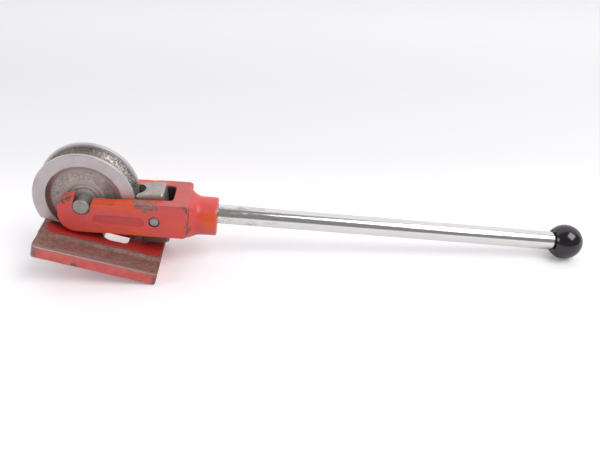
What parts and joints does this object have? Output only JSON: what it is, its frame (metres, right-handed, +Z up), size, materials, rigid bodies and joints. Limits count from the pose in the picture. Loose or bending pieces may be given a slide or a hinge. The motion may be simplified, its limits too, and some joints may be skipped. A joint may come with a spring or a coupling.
{
  "type": "manual tube bender",
  "caption": "Hand tube bender: grooved steel former on a vice foot, with a forked lever, swivelling pressure shoe, chromed handle rod and ball knob.",
  "frame": {"origin": "on the bench, below the middle of the whole tool's bounding box", "axes": "+X towards the ball of the handle, +Y along the pivot pin to the back, +Z up; the tool stands on the lower right edge of its foot and on the ball"},
  "size_m": [0.4386, 0.065, 0.0945],
  "materials": {
    "red_paint": "semi-gloss red paint on a casting, chipped and worn to bare metal along the edges",
    "turned_steel": "turned bare steel with fine rings, dulled by use",
    "ground_steel": "ground bare steel with worn edges",
    "black_oxide": "blackened screws and washers",
    "chrome": "polished chrome, slightly scratched near the neck",
    "black_plastic": "moulded gloss black",
    "brass": "plain threaded insert"
  },
  "bodies": {
    "base": {"vice_foot": "red_paint", "bend_former": "turned_steel", "pivot_pin": "turned_steel", "former_screw_left": "black_oxide", "former_screw_right": "black_oxide", "former_washer_left": "black_oxide", "former_washer_right": "black_oxide", "former_dowel_front": "ground_steel", "former_dowel_rear": "ground_steel", "pivot_pin_set_screw": "black_oxide"},
    "lever": {"lever_fork": "red_paint", "handle_rod": "chrome", "handle_set_screw": "black_oxide", "ball_knob": "black_plastic", "knob_insert": "brass", "shoe_pin": "ground_steel", "shoe_pin_set_screw": "black_oxide"},
    "shoe": {"pressure_shoe": "ground_steel"}
  },
  "joints": [
    {"name": "lever_swing", "type": "hinge", "parent": "base", "child": "lever", "pos_m": [-0.18078, 0.01085, 0.05596], "axis": [0, -1, 0], "range_deg": [0, 195]},
    {"name": "shoe_swivel", "type": "hinge", "parent": "lever", "child": "shoe", "pos_m": [-0.1278, 0.01085, 0.04283], "axis": [0, -1, 0], "range_deg": [-19, 2]}
  ]
}
